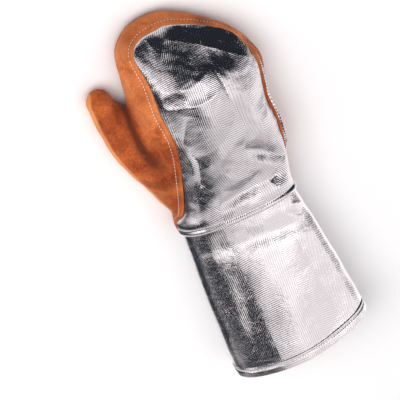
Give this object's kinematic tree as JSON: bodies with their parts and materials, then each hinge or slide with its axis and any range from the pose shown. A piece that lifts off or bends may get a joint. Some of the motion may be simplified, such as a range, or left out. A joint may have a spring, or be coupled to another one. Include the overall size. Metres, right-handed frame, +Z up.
{
  "type": "welding gauntlet mitten",
  "caption": "Right-hand welding mitten of suede leather with an aluminised back and a wide aluminised gauntlet cuff, lying palm down.",
  "frame": {"origin": "centre of the bounding box, on the surface that the mitten lies on", "axes": "+Z up out of the back of the hand, +Y towards the fingertips, -X towards the thumb"},
  "size_m": [0.1688, 0.3712, 0.0708],
  "materials": {
    "aluminised_cloth": "aluminised twill, crinkled metallic sheen",
    "suede_leather": "split suede, matte, orange brown",
    "thread": "off-white sewing thread"
  },
  "bodies": {
    "root": {"hand_back": "aluminised_cloth", "thumb_side": "suede_leather", "tip_side": "suede_leather", "palm": "suede_leather", "palm_welt": "suede_leather", "thumb_front": "suede_leather", "cuff": "aluminised_cloth"}
  },
  "joints": []
}
